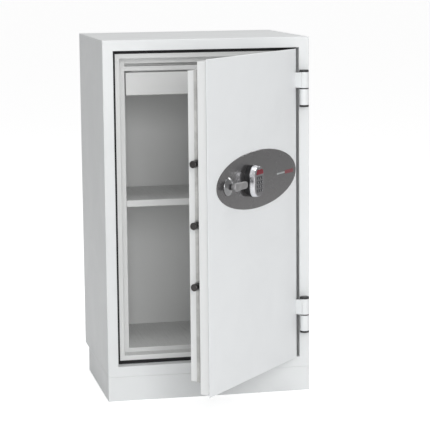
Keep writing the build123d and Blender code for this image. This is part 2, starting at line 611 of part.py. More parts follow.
# ---- steel plate behind the boltwork ----
plate_start = PLUG_INSET + GUIDE_LENGTH + 3.5
plate_low = BOLT_HEIGHTS[0] - 36
plate_high = BOLT_HEIGHTS[-1] + 56
plate_back = OUTER_BOARD_END + PLATE_SHEET
mechanism_plate = door_slab(plate_start, plate_start + 180, plate_low, plate_high, OUTER_BOARD_END, plate_back)
save("mechanism_plate", mechanism_plate - spindle_way, on_door=True)

# ---- lock case and the small bolt that blocks the boltwork ----
CASE_GAP = 2.5
CASE_ROUND = 3.0
CASE_LEFT = 11.0
CASE_RIGHT = 40.0
CASE_UP = 60.0
BLOCK_OFFSET = 32.0
BLOCK_WIDTH = 14.0
BLOCK_LENGTH = 43.0
BLOCK_THICKNESS = 8.0
BLOCK_PLAY = 0.4
case_low = arm_high + CASE_GAP
case_back = INNER_BOARD_START - CASE_GAP
block_u = slot_u + BLOCK_OFFSET
block_end = block_u + BLOCK_WIDTH
block_high = case_low + BLOCK_LENGTH
block_back = BOLT_DEPTH + BLOCK_THICKNESS
case_left = block_u - CASE_LEFT
case_right = block_u + CASE_RIGHT
lock_case = door_slab(case_left, case_right, case_low, case_low + CASE_UP, plate_back, case_back)
lock_case = fillet(lock_case.edges().filter_by(Axis.Y), CASE_ROUND)
lock_case -= door_slab(
    block_u - BLOCK_PLAY, block_end + BLOCK_PLAY, case_low - 1, block_high + 1,
    BOLT_DEPTH - BLOCK_PLAY, block_back + BLOCK_PLAY
)
save("lock_case", lock_case, on_door=True)
lock_bolt = door_slab(block_u, block_end, case_low - 0.5, block_high, BOLT_DEPTH, block_back)
lock_bolt = chamfer(lock_bolt.faces().sort_by(Axis.Z)[0].edges(), 1)
save("lock_bolt", lock_bolt, on_door=True)

# ---- oval lock plate with two plain stripes on it ----
lock_plate = door_profile(Ellipse(PLATE_HALF, PLATE_UP / 2), PLATE_U, PLATE_V, 0, -PLATE_THICKNESS)
lock_plate = chamfer(lock_plate.faces().sort_by(Axis.Y)[0].edges(), 0.7)
save("lock_plate", lock_plate - spindle_way - cable_way, on_door=True)
STRIPE = 0.4
RED_ACROSS = 57.0
RED_UP = 11.0
PALE_ACROSS = 52.0
PALE_UP = 5.0
STRIPE_GAP = 3.0
STRIPE_TO_TIP = 19.5
stripe_front = -PLATE_THICKNESS - STRIPE
red_end = PLATE_U + PLATE_HALF - STRIPE_TO_TIP
pale_end = red_end - RED_ACROSS - STRIPE_GAP


def stripe(end, across, up):
    """A plain stripe on the lock plate, level with its middle."""
    return door_slab(end - across, end, PLATE_V - up / 2, PLATE_V + up / 2, stripe_front, -PLATE_THICKNESS)


save("stripe_pale", stripe(pale_end, PALE_ACROSS, PALE_UP), on_door=True)
save("stripe_red", stripe(red_end, RED_ACROSS, RED_UP), on_door=True)

# ---- handle: domed rose, lever, spindle and crank ----
ROSE_RADIUS = 27.0
ROSE_HEIGHT = 12.0
ROSE_DOME = 9.0
rose_front = -PLATE_THICKNESS - ROSE_HEIGHT
rose = door_rod(HANDLE_U, HANDLE_V, rose_front, -PLATE_THICKNESS, ROSE_RADIUS)
rose = fillet(rose.faces().sort_by(Axis.Y)[0].edges(), ROSE_DOME)
rose_hole = door_rod(HANDLE_U, HANDLE_V, rose_front - 1, 0, SPINDLE_HOLE)
save("handle_rose", rose - rose_hole, on_door=True)
LEVER_FRONT = -32.0
LEVER_BACK = -19.0
LEVER_END_ROUND = 9.0
LEVER_EDGE_ROUND = 2.5
HUB_BACK = -15.5
NECK_RADIUS = 7.0
hub_radius = HANDLE_WIDTH / 2 + 1.5
lever = door_rod(HANDLE_U, HANDLE_V, LEVER_FRONT, HUB_BACK, hub_radius)
lever_end = HANDLE_U + HANDLE_REACH
grip = door_slab(
    HANDLE_U, lever_end, HANDLE_V - HANDLE_WIDTH / 2, HANDLE_V + HANDLE_WIDTH / 2, LEVER_FRONT, LEVER_BACK
)
grip = fillet(grip.edges().filter_by(Axis.Y).sort_by(Axis.X)[2:], LEVER_END_ROUND)
lever += grip
lever = fillet(lever.faces().sort_by(Axis.Y)[0].edges(), LEVER_EDGE_ROUND)
lever += door_rod(HANDLE_U, HANDLE_V, HUB_BACK, 0, NECK_RADIUS)
save("handle_lever", lever, on_door=True)
SPINDLE_RADIUS = 5.0
CRANK_THICKNESS = 7.0
CRANK_HUB = 13.0
CRANK_EYE = 6.0
CRANK_START = OUTER_BOARD_END + PLATE_SHEET + 1.0
CRANK_END = CRANK_START + CRANK_THICKNESS
save("spindle", door_rod(HANDLE_U, HANDLE_V, 0, CRANK_END + 2, SPINDLE_RADIUS), on_door=True)
crank_turn = radians(HANDLE_TURN / 2)
pin_u = HANDLE_U - CRANK * sin(crank_turn)
pin_v = HANDLE_V + CRANK * cos(crank_turn)
crank = door_rod(HANDLE_U, HANDLE_V, CRANK_START, CRANK_END, CRANK_HUB)
web = door_slab(HANDLE_U - CRANK_EYE, HANDLE_U + CRANK_EYE, HANDLE_V, HANDLE_V + CRANK, CRANK_START, CRANK_END)
pivot = Axis((DOOR_X + HANDLE_U, FRONT, DOOR_Z + HANDLE_V), (0, 1, 0))
crank += web.rotate(pivot, -HANDLE_TURN / 2)
crank += door_rod(pin_u, pin_v, CRANK_START, CRANK_END, CRANK_EYE)
crank += door_rod(pin_u, pin_v, CRANK_END, arm_back + 2, CRANK_PIN)
crank -= door_rod(HANDLE_U, HANDLE_V, CRANK_START - 1, CRANK_END + 1, SPINDLE_RADIUS + 0.05)
save("drive_crank", crank, on_door=True)

# ---- keypad: black base, plated body, key panel, display, circuit board ----
def capsule(width, height):
    """An upright rounded-end outline."""
    return Rot(0, 0, 90) * SlotOverall(height, width)


BASE_FRONT = -17.0
BASE_SHEET = 2.5
BASE_STEP = 1.0
WALL = 3.0
BODY_ROUND = 4.0
BODY_FACE = 2.0
RIM_WIDTH = 5.5
PANEL_BACK = -KEYPAD_PROUD + 3.4
PANEL_PLAY = 0.3


def keypad_layer(inset, t_back, t_front):
    """A slice of the keypad's outline, drawn in by inset all round."""
    outline = capsule(KEYPAD_WIDTH - 2 * inset, KEYPAD_HEIGHT - 2 * inset)
    return door_profile(outline, KEYPAD_U, KEYPAD_V, t_back, t_front)


base = keypad_layer(BASE_STEP, -PLATE_THICKNESS, BASE_FRONT)
base -= keypad_layer(BASE_STEP + WALL, -PLATE_THICKNESS - BASE_SHEET, BASE_FRONT - 1)
save("keypad_base", base - cable_way, on_door=True)
body = keypad_layer(0, BASE_FRONT, -KEYPAD_PROUD)
body = fillet(body.faces().sort_by(Axis.Y)[0].edges(), BODY_ROUND)
body -= keypad_layer(WALL, BASE_FRONT + 1, -KEYPAD_PROUD + BODY_FACE)
body -= keypad_layer(RIM_WIDTH, BASE_FRONT, -KEYPAD_PROUD - 1)
save("keypad_body", body, on_door=True)
panel = keypad_layer(WALL + PANEL_PLAY, PANEL_BACK, -KEYPAD_PROUD + BODY_FACE + 0.1)
panel += keypad_layer(RIM_WIDTH + PANEL_PLAY, PANEL_BACK, -KEYPAD_PROUD + 0.5)

# ---- twelve keys and the display, each in its own well in the panel ----
KEY_ACROSS = 0.16 * KEYPAD_WIDTH
KEY_UP = 0.09 * KEYPAD_HEIGHT
KEY_PITCH_U = 0.21 * KEYPAD_WIDTH
KEY_PITCH_V = 0.13 * KEYPAD_HEIGHT
KEY_TOP_V = KEYPAD_V + 0.11 * KEYPAD_HEIGHT
KEY_CORNER = 2.4
KEY_ROUND = 0.7
KEY_PLAY = 0.35
KEY_FRONT = -KEYPAD_PROUD - 1.2
KEY_BACK = PANEL_BACK + 0.3
DISPLAY_ACROSS = 0.52 * KEYPAD_WIDTH
DISPLAY_UP = 0.135 * KEYPAD_HEIGHT
DISPLAY_V = KEYPAD_V + 0.295 * KEYPAD_HEIGHT
DISPLAY_CORNER = 3.0
DISPLAY_PLAY = 0.2


def rounded(across, up, corner, grow=0.0):
    """A rectangle with rounded corners, made larger by grow all round."""
    return RectangleRounded(across + 2 * grow, up + 2 * grow, corner + grow)


display_outline = rounded(DISPLAY_ACROSS, DISPLAY_UP, DISPLAY_CORNER)
display_well = rounded(DISPLAY_ACROSS, DISPLAY_UP, DISPLAY_CORNER, DISPLAY_PLAY)
display = door_profile(display_outline, KEYPAD_U, DISPLAY_V, PANEL_BACK, -KEYPAD_PROUD)
save("keypad_display", display, on_door=True)
panel -= door_profile(display_well, KEYPAD_U, DISPLAY_V, PANEL_BACK + 1, -KEYPAD_PROUD - 1)
number = 0
for row in range(4):
    for column in range(3):
        number += 1
        u = KEYPAD_U + (column - 1) * KEY_PITCH_U
        v = KEY_TOP_V - row * KEY_PITCH_V
        key = door_profile(rounded(KEY_ACROSS, KEY_UP, KEY_CORNER), u, v, KEY_BACK, KEY_FRONT)
        key = fillet(key.faces().sort_by(Axis.Y)[0].edges(), KEY_ROUND)
        save(f"key_{number:02d}", key, on_door=True)
        well = rounded(KEY_ACROSS, KEY_UP, KEY_CORNER, KEY_PLAY)
        panel -= door_profile(well, u, v, PANEL_BACK + 1, -KEYPAD_PROUD - 1)
save("keypad_panel", panel, on_door=True)
BOARD_SHEET = 1.6
KEY_TRAVEL_ROOM = 1.6
board_front = KEY_BACK + KEY_TRAVEL_ROOM
board_back = board_front + BOARD_SHEET
save("keypad_board", keypad_layer(WALL + 0.5, board_back, board_front), on_door=True)

# ---- cable from the circuit board through the door to the lock case ----
CABLE_RADIUS = 2.0
CABLE_BEND = 20.0
cable_t = BOLT_DEPTH + 1
start = (DOOR_X + KEYPAD_U, FRONT + board_back, DOOR_Z + CABLE_V)
corner = (DOOR_X + KEYPAD_U, FRONT + cable_t, DOOR_Z + CABLE_V)
end = (DOOR_X + case_right, FRONT + cable_t, DOOR_Z + CABLE_V)
route = FilletPolyline(start, corner, end, radius=CABLE_BEND)
section = Plane(origin=start, z_dir=(0, 1, 0)) * Circle(CABLE_RADIUS)
cable = sweep(section, path=route)
print("keypad cable bend radius", CABLE_BEND, "volume", cable.volume)
print("section times length", section.area * route.length)
save("keypad_cable", cable, on_door=True)
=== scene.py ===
import json
import math
import bmesh
import bpy
from mathutils import Matrix, Vector


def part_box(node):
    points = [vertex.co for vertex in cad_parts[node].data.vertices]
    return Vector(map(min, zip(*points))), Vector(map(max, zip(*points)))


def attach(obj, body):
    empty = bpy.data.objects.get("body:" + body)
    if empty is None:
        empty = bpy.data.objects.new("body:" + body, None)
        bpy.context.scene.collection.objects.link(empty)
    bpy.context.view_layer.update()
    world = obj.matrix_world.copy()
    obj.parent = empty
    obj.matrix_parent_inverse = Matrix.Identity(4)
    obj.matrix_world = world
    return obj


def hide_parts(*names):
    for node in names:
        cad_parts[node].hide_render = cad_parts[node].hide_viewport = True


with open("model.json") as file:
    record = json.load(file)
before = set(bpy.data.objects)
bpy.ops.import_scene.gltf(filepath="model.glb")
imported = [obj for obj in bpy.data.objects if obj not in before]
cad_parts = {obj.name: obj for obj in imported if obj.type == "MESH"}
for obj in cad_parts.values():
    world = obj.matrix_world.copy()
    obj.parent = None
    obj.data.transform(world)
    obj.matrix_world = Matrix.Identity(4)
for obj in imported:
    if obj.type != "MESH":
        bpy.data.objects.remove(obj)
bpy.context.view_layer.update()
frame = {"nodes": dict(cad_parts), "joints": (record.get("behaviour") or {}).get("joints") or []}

# Camera: it stands in front of the cabinet, well back, a little to the left and above the top.
# The long lens keeps the cabinet's uprights nearly parallel.
CAMERA_PLACE = (-1.0685, -5.4151, 1.3635)
CAMERA_YAW = math.radians(11.92)
CAMERA_PITCH = math.radians(8.57)
CAMERA_ROLL = math.radians(-0.56)
LENS_MM = 145.2
camera = bpy.data.objects.new("camera", bpy.data.cameras.new("camera"))
bpy.context.scene.collection.objects.link(camera)
bpy.context.scene.camera = camera
camera.data.lens = LENS_MM
camera.data.sensor_width = 36.0
camera.data.clip_end = 300.0
ahead = Vector((
    math.sin(CAMERA_YAW) * math.cos(CAMERA_PITCH),
    math.cos(CAMERA_YAW) * math.cos(CAMERA_PITCH),
    -math.sin(CAMERA_PITCH),
))
level = Vector((math.cos(CAMERA_YAW), -math.sin(CAMERA_YAW), 0.0))
upward = level.cross(ahead)
camera_x = level * math.cos(CAMERA_ROLL) + upward * math.sin(CAMERA_ROLL)
camera_y = upward * math.cos(CAMERA_ROLL) - level * math.sin(CAMERA_ROLL)
turn = Matrix((camera_x, camera_y, -ahead)).transposed()
camera.matrix_world = Matrix.Translation(CAMERA_PLACE) @ turn.to_4x4()

# Outer case: folded steel sheet with a turned-in front frame, a screwed back cover and a separate
# plinth, all stove-enamelled with white powder. The coat has a faint orange-peel surface and is
# rubbed a little thinner along its folded edges.


def shader_group(name, inputs, outputs):
    """An empty shader node group with named sockets: the group, what it takes in and what it gives."""
    group = bpy.data.node_groups.new(name, "ShaderNodeTree")
    for label, kind, value in inputs:
        group.interface.new_socket(label, in_out="INPUT", socket_type=kind).default_value = value
    for label, kind in outputs:
        group.interface.new_socket(label, in_out="OUTPUT", socket_type=kind)
    taken = group.nodes.new("NodeGroupInput").outputs
    given = group.nodes.new("NodeGroupOutput").inputs
    return group, taken, given


def put(tree, kind, sockets=None, **settings):
    """Adds one node. Each named socket takes a value, or a wire if it is given another socket."""
    node = tree.nodes.new("ShaderNode" + kind)
    for name, value in settings.items():
        setattr(node, name, value)
    for name, value in (sockets or {}).items():
        if isinstance(value, bpy.types.NodeSocket):
            tree.links.new(value, node.inputs[name])
        else:
            node.inputs[name].default_value = value
    return node


def use(tree, group, **sockets):
    """Places a node group in a material, with this material's own values."""
    return put(tree, "Group", {k.replace("_", " "): v for k, v in sockets.items()}, node_tree=group)


def sum_of(tree, a, b, operation="ADD"):
    """The sum of two values, or their product."""
    return put(tree, "Math", {0: a, 1: b}, operation=operation).outputs[0]


def coat_relief_group():
    """Orange peel of a baked powder coat: broad soft waves with a finer grain on them."""
    group, taken, given = shader_group(
        "coat_relief",
        [("Waves per metre", "NodeSocketFloat", 280.0), ("Grain per metre", "NodeSocketFloat", 1300.0),
         ("Grain share", "NodeSocketFloat", 0.3)],
        [("Height", "NodeSocketFloat")],
    )
    place = put(group, "TexCoord").outputs["Object"]
    waves = put(group, "TexNoise", {"Vector": place, "Scale": taken[0], "Detail": 1.0, "Roughness": 0.4})
    grain = put(group, "TexNoise", {"Vector": place, "Scale": taken[1], "Detail": 2.0})
    share = sum_of(group, grain.outputs[0], taken[2], "MULTIPLY")
    group.links.new(sum_of(group, waves.outputs[0], share), given["Height"])
    return group


def rub_group():
    """Handling marks: cloudy patches where a surface is a little glossier or duller."""
    group, taken, given = shader_group(
        "rub_marks",
        [("Patches per metre", "NodeSocketFloat", 6.0), ("Smoothest", "NodeSocketFloat", 0.3),
         ("Roughest", "NodeSocketFloat", 0.5)],
        [("Roughness", "NodeSocketFloat"), ("Mask", "NodeSocketFloat")],
    )
    place = put(group, "TexCoord").outputs["Object"]
    cloud = put(group, "TexNoise", {
        "Vector": place, "Scale": taken[0], "Detail": 6.0, "Roughness": 0.62, "Distortion": 0.6})
    shaped = put(group, "MapRange", {"Value": cloud.outputs[0], "From Min": 0.32, "From Max": 0.68})
    spread = put(group, "MapRange", {"Value": shaped.outputs[0], "To Min": taken[1], "To Max": taken[2]})
    group.links.new(spread.outputs[0], given["Roughness"])
    group.links.new(shaped.outputs[0], given["Mask"])
    return group


def edge_group():
    """Wear on edges: strongest where two faces meet, broken up so that it is never a ruled line."""
    group, taken, given = shader_group(
        "edge_wear",
        [("Width", "NodeSocketFloat", 0.001), ("Amount", "NodeSocketFloat", 0.5)],
        [("Mask", "NodeSocketFloat")],
    )
    rounded = put(group, "Bevel", {"Radius": taken[0]}, samples=4).outputs[0]
    true = put(group, "NewGeometry").outputs["Normal"]
    along = put(group, "VectorMath", {0: rounded, 1: true}, operation="DOT_PRODUCT").outputs["Value"]
    bend = put(group, "MapRange", {"Value": along, "From Min": 0.995, "From Max": 0.86})
    place = put(group, "TexCoord").outputs["Object"]
    patches = put(group, "TexNoise", {"Vector": place, "Scale": 90.0, "Detail": 4.0, "Roughness": 0.7})
    broken = put(group, "MapRange", {"Value": patches.outputs[0], "From Min": 0.38, "From Max": 0.62})
    worn = sum_of(group, bend.outputs[0], broken.outputs[0], "MULTIPLY")
    group.links.new(sum_of(group, worn, taken[1], "MULTIPLY"), given["Mask"])
    return group


def dust_group():
    """Fine dust that settles on whatever faces up, thicker in some places than in others."""
    group, taken, given = shader_group(
        "settled_dust", [("Amount", "NodeSocketFloat", 0.2)], [("Mask", "NodeSocketFloat")])
    facing = put(group, "SeparateXYZ", {0: put(group, "NewGeometry").outputs["Normal"]}).outputs["Z"]
    top = put(group, "MapRange", {"Value": facing, "From Min": 0.75, "From Max": 1.0})
    place = put(group, "TexCoord").outputs["Object"]
    drift = put(group, "TexNoise", {"Vector": place, "Scale": 22.0, "Detail": 8.0, "Roughness": 0.75})
    specks = put(group, "MapRange", {"Value": drift.outputs[0], "From Min": 0.35, "From Max": 0.7})
    lying = sum_of(group, top.outputs[0], specks.outputs[0], "MULTIPLY")
    group.links.new(sum_of(group, lying, taken[0], "MULTIPLY"), given["Mask"])
    return group


COAT_RELIEF = coat_relief_group()
RUB_MARKS = rub_group()
EDGE_WEAR = edge_group()
SETTLED_DUST = dust_group()


def blank_material(name):
    """A material with only its surface shader and output, and that shader."""
    material = bpy.data.materials.new(name)
    material.use_nodes = True
    return material, material.node_tree, material.node_tree.nodes["Principled BSDF"]


def mixed(tree, mask, first, second):
    """A colour that goes from the first to the second where the mask rises."""
    node = put(tree, "Mix", data_type="RGBA")
    for socket, value in ((node.inputs[6], first), (node.inputs[7], second)):
        if isinstance(value, bpy.types.NodeSocket):
            tree.links.new(value, socket)
        else:
            socket.default_value = (*value, 1.0)
    tree.links.new(mask, node.inputs[0])
    return node.outputs[2]


def relief(tree, shader, height, depth, fold=0.0):
    """A bumpy surface from a height of 0 to 1 that is depth metres deep, over edges folded to a radius."""
    bump = put(tree, "Bump", {"Height": height, "Strength": 1.0, "Distance": depth})
    if fold:
        tree.links.new(put(tree, "Bevel", {"Radius": fold}, samples=6).outputs[0], bump.inputs["Normal"])
    tree.links.new(bump.outputs[0], shader.inputs["Normal"])


def powder_coat(name, colour, rubbed, smoothest, roughest, wear=0.35, dust=0.12, depth=0.00017):
    """Baked powder paint on steel sheet."""
    material, tree, shader = blank_material(name)
    marks = use(tree, RUB_MARKS, Patches_per_metre=5.0, Smoothest=smoothest, Roughest=roughest)
    edges = use(tree, EDGE_WEAR, Width=0.0014, Amount=wear)
    lying = use(tree, SETTLED_DUST, Amount=dust)
    tone = mixed(tree, marks.outputs["Mask"], colour, [0.975 * c for c in colour])
    tone = mixed(tree, edges.outputs["Mask"], tone, rubbed)
    tone = mixed(tree, lying.outputs["Mask"], tone, (0.52, 0.50, 0.47))
    tree.links.new(tone, shader.inputs["Base Color"])
    tree.links.new(marks.outputs["Roughness"], shader.inputs["Roughness"])
    shader.inputs["Specular IOR Level"].default_value = 0.45
    peel = use(tree, COAT_RELIEF, Waves_per_metre=300.0, Grain_per_metre=1400.0, Grain_share=0.25)
    relief(tree, shader, peel.outputs["Height"], depth, fold=0.0016)
    return material


def dress(material, *names):
    """Gives CAD pieces a finish, in the slots that they already have."""
    for name in names:
        for slot in frame["nodes"][name].material_slots:
            slot.material = material


WHITE = (0.735, 0.75, 0.755)
white_coat = powder_coat("white_powder_coat", WHITE, (0.86, 0.87, 0.87), 0.34, 0.5)
dress(white_coat, "body_shell", "rear_cover", "plinth")

# Base pan: a plain tray of primed sheet that closes the plinth underneath.
# It was sprayed thinly, so the primer is dull and uneven.
primer = powder_coat("grey_primer", (0.30, 0.305, 0.31), (0.42, 0.42, 0.41), 0.55, 0.8, wear=0.6, dust=0.0)
dress(primer, "base_pan")

# Screws of the back cover and the inner door cover: zinc-plated steel, turned and driven, so the
# plating is slightly streaked and bright on the corners of each recess.


def streak_group():
    """Fine parallel tool lines: dense across one direction, and long along the others."""
    group, taken, given = shader_group(
        "tool_lines",
        [("Across", "NodeSocketVector", (0.0, 0.0, 1.0)), ("Lines per metre", "NodeSocketFloat", 2500.0),
         ("Breaks per metre", "NodeSocketFloat", 30.0), ("Smoothest", "NodeSocketFloat", 0.2),
         ("Roughest", "NodeSocketFloat", 0.4)],
        [("Height", "NodeSocketFloat"), ("Roughness", "NodeSocketFloat")],
    )
    place = put(group, "TexCoord").outputs["Object"]
    reach = put(group, "VectorMath", {0: place, 1: taken[0]}, operation="DOT_PRODUCT").outputs["Value"]
    dense = put(group, "VectorMath", {0: taken[0]}, operation="SCALE")
    group.links.new(sum_of(group, reach, taken[1], "MULTIPLY"), dense.inputs["Scale"])
    loose = put(group, "VectorMath", {0: place}, operation="SCALE")
    group.links.new(taken[2], loose.inputs["Scale"])
    where = put(group, "VectorMath", {0: dense.outputs[0], 1: loose.outputs[0]}, operation="ADD").outputs[0]
    lines = put(group, "TexNoise", {"Vector": where, "Scale": 1.0, "Detail": 3.0, "Roughness": 0.6})
    group.links.new(lines.outputs[0], given["Height"])
    spread = put(group, "MapRange", {
        "Value": lines.outputs[0], "From Min": 0.3, "From Max": 0.7, "To Min": taken[3], "To Max": taken[4]})
    group.links.new(spread.outputs[0], given["Roughness"])
    return group


TOOL_LINES = streak_group()


def worked_metal(name, colour, bright, across, smoothest, roughest, lines=2500.0, breaks=30.0, depth=0.00002):
    """Bare or plated metal that shows the lines of the tool that worked it."""
    material, tree, shader = blank_material(name)
    tool = use(tree, TOOL_LINES, Across=across, Lines_per_metre=lines, Breaks_per_metre=breaks,
               Smoothest=smoothest, Roughest=roughest)
    edges = use(tree, EDGE_WEAR, Width=0.0006, Amount=0.7)
    stain = use(tree, RUB_MARKS, Patches_per_metre=40.0, Smoothest=0.0, Roughest=1.0)
    tone = mixed(tree, stain.outputs["Mask"], colour, [0.8 * c for c in colour])
    tone = mixed(tree, edges.outputs["Mask"], tone, bright)
    tree.links.new(tone, shader.inputs["Base Color"])
    tree.links.new(tool.outputs["Roughness"], shader.inputs["Roughness"])
    shader.inputs["Metallic"].default_value = 1.0
    relief(tree, shader, tool.outputs["Height"], depth)
    return material


zinc = worked_metal("zinc_plated_steel", (0.60, 0.60, 0.58), (0.8, 0.8, 0.78), (0.3, 0.2, 0.93), 0.28, 0.5)
dress(zinc, "rear_screws", "cover_screws", "bolt_nuts")

# Filling of the walls and the door: gypsum with glass fibre, cast in place, full of small air holes.
# It is shut in between the sheets and shows only through the bolt holes.


def cast_filling():
    """Pale gypsum, pitted where air was trapped against the mould; each pit is darkened with painted shade.
    """
    material, tree, shader = blank_material("cast_gypsum")
    place = put(tree, "TexCoord").outputs["Object"]
    holes = put(tree, "TexVoronoi", {"Vector": place, "Scale": 420.0})
    pit = put(tree, "MapRange", {"Value": holes.outputs["Distance"], "From Min": 0.05, "From Max": 0.35})
    cloud = use(tree, RUB_MARKS, Patches_per_metre=30.0, Smoothest=0.8, Roughest=0.95)
    tone = mixed(tree, cloud.outputs["Mask"], (0.62, 0.60, 0.56), (0.70, 0.68, 0.64))
    # The dark colour in the pits is painted shade inside the air holes.
    tree.links.new(mixed(tree, pit.outputs[0], (0.40, 0.38, 0.35), tone), shader.inputs["Base Color"])
    tree.links.new(cloud.outputs["Roughness"], shader.inputs["Roughness"])
    relief(tree, shader, pit.outputs[0], 0.0008)
    return material


dress(cast_filling(), "wall_filling", "door_filling", "inner_filling")

# Stepped jamb and sheet lining: the same powder in a slightly greyer batch. Files and boxes slide in
# and out over the floor and the shelf, so these have fine scuffs that run from front to back.


def scuffed_coat(name, colour, smoothest, roughest):
    """Powder paint inside the cabinet, with scuffs from front to back where things slide."""
    material, tree, shader = blank_material(name)
    slides = use(tree, TOOL_LINES, Across=(1.0, 0.0, 0.0), Lines_per_metre=420.0, Breaks_per_metre=9.0,
                 Smoothest=smoothest, Roughest=roughest)
    edges = use(tree, EDGE_WEAR, Width=0.0012, Amount=0.3)
    lying = use(tree, SETTLED_DUST, Amount=0.16)
    scuff = put(tree, "MapRange", {"Value": slides.outputs["Height"], "From Min": 0.56, "From Max": 0.72})
    flat = put(tree, "SeparateXYZ", {0: put(tree, "NewGeometry").outputs["Normal"]}).outputs["Z"]
    upper = put(tree, "MapRange", {"Value": flat, "From Min": 0.8, "From Max": 1.0, "To Max": 0.5})
    shown = sum_of(tree, scuff.outputs[0], upper.outputs[0], "MULTIPLY")
    tone = mixed(tree, shown, colour, [0.72 * c for c in colour])
    tone = mixed(tree, edges.outputs["Mask"], tone, (0.82, 0.82, 0.81))
    tone = mixed(tree, lying.outputs["Mask"], tone, (0.45, 0.44, 0.42))
    tree.links.new(tone, shader.inputs["Base Color"])
    tree.links.new(slides.outputs["Roughness"], shader.inputs["Roughness"])
    peel = use(tree, COAT_RELIEF, Waves_per_metre=340.0, Grain_per_metre=1500.0, Grain_share=0.3)
    relief(tree, shader, peel.outputs["Height"], 0.0001, fold=0.0014)
    return material


LINER = (0.69, 0.695, 0.69)
liner_coat = scuffed_coat("liner_powder_coat", LINER, 0.36, 0.55)
dress(liner_coat, "jamb_frame", "inner_liner")

# Frame seal: one length of extruded black rubber with two soft ribs, mitred at the corners and
# stuck on the outer ledge, where the door's band presses on it.


def mesh_piece(name, points, faces, material, smooth=True):
    """An object from points in the cabinet's own frame and faces between them."""
    mesh = bpy.data.meshes.new(name)
    mesh.from_pydata([tuple(p) for p in points], [], faces)
    work = bmesh.new()
    work.from_mesh(mesh)
    bmesh.ops.recalc_face_normals(work, faces=work.faces)
    work.to_mesh(mesh)
    work.free()
    mesh.materials.append(material)
    for polygon in mesh.polygons:
        polygon.use_smooth = smooth
    piece = bpy.data.objects.new(name, mesh)
    bpy.context.scene.collection.objects.link(piece)
    return piece


def ribbed_rubber(name, colour, worn):
    """Soft black rubber: matt, finely pored, and paler where it is pressed."""
    material, tree, shader = blank_material(name)
    place = put(tree, "TexCoord").outputs["Object"]
    pores = put(tree, "TexNoise", {"Vector": place, "Scale": 1800.0, "Detail": 3.0})
    marks = use(tree, RUB_MARKS, Patches_per_metre=18.0, Smoothest=0.55, Roughest=0.8)
    edges = use(tree, EDGE_WEAR, Width=0.0008, Amount=0.5)
    tone = mixed(tree, marks.outputs["Mask"], colour, [1.5 * c for c in colour])
    tree.links.new(mixed(tree, edges.outputs["Mask"], tone, worn), shader.inputs["Base Color"])
    tree.links.new(marks.outputs["Roughness"], shader.inputs["Roughness"])
    shader.inputs["Specular IOR Level"].default_value = 0.35
    relief(tree, shader, pores.outputs[0], 0.00006)
    return material


black_rubber = ribbed_rubber("black_rubber", (0.012, 0.012, 0.013), (0.05, 0.05, 0.05))
seal_low, seal_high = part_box("frame_seal")
SEAL_WIDTH = 0.011
RIB_STEPS = 10


def seal_section(width, thick):
    """Closed outline of the seal: how far in from the opening's edge, and out from the ledge."""
    outline = [(0.0, 0.0)]
    for n in range(2 * RIB_STEPS + 1):
        share = n / (2 * RIB_STEPS)
        rib = abs(math.sin(2 * math.pi * share))
        outline.append((width * (0.04 + 0.92 * share), thick * (0.35 + 0.65 * rib ** 0.7)))
    outline.append((width, 0.0))
    return outline


def mitred_ring(outline, low, high):
    """Runs an outline round a rectangle whose corners are low and high, mitred at each corner."""
    corners = ((low.x, low.z, 1, 1), (high.x, low.z, -1, 1), (high.x, high.z, -1, -1), (low.x, high.z, 1, -1))
    points = [
        (x + inward * turn_x, high.y - out, z + inward * turn_z)
        for x, z, turn_x, turn_z in corners
        for inward, out in outline
    ]
    count = len(outline)
    faces = []
    for corner in range(4):
        for n in range(count):
            here, there = corner * count + n, corner * count + (n + 1) % count
            faces.append((here, there, (there + count) % (4 * count), (here + count) % (4 * count)))
    return points, faces


seal_outline = seal_section(SEAL_WIDTH, seal_high.y - seal_low.y)
seal = mesh_piece("rubber_seal", *mitred_ring(seal_outline, seal_low, seal_high), black_rubber)
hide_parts("frame_seal")
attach(seal, "cabinet")

# Strike sleeves: short steel tubes that line the bolt holes in the jamb. They are turned, so the
# lines run round them, and the bolts have polished their mouths.
sleeve_steel = worked_metal(
    "turned_sleeve_steel", (0.50, 0.50, 0.49), (0.78, 0.78, 0.77), (1.0, 0.0, 0.0), 0.25, 0.42)
dress(sleeve_steel, "strike_sleeves")

# Shelf strips and clips: galvanised strip with punched slots, and clips pressed from the same sheet.
# Galvanising leaves a pattern of flat zinc crystals up to a centimetre across.


def galvanised(name, colour):
    """Zinc-coated sheet: each crystal has its own brightness and gloss."""
    material, tree, shader = blank_material(name)
    place = put(tree, "TexCoord").outputs["Object"]
    crystals = put(tree, "TexVoronoi", {"Vector": place, "Scale": 110.0})
    shade = put(tree, "SeparateColor", {0: crystals.outputs["Color"]}).outputs[0]
    tone = mixed(tree, shade, [0.82 * c for c in colour], [1.18 * c for c in colour])
    edges = use(tree, EDGE_WEAR, Width=0.0006, Amount=0.5)
    tree.links.new(mixed(tree, edges.outputs["Mask"], tone, (0.8, 0.8, 0.8)), shader.inputs["Base Color"])
    gloss = put(tree, "MapRange", {"Value": shade, "To Min": 0.34, "To Max": 0.55})
    tree.links.new(gloss.outputs[0], shader.inputs["Roughness"])
    shader.inputs["Metallic"].default_value = 0.9
    grain = use(tree, COAT_RELIEF, Waves_per_metre=220.0, Grain_per_metre=1800.0, Grain_share=0.5)
    relief(tree, shader, grain.outputs["Height"], 0.00005)
    return material


dress(galvanised("galvanised_strip", (0.42, 0.43, 0.44)), "shelf_strips", "shelf_clips")

# Shelf and header: folded sheet pans in the lining's paint. The shelf lies on the four clips, and the
# header panel hangs by its tab from the rail across the top.
dress(liner_coat, "shelf")
header_coat = powder_coat("header_powder_coat", (0.70, 0.705, 0.70), (0.82, 0.82, 0.82), 0.34, 0.52)
dress(header_coat, "header_rail", "header_panel")

# Hinges: lift-off barrels in the case's white powder, bare steel pins between them, and black
# plastic washers and end caps.


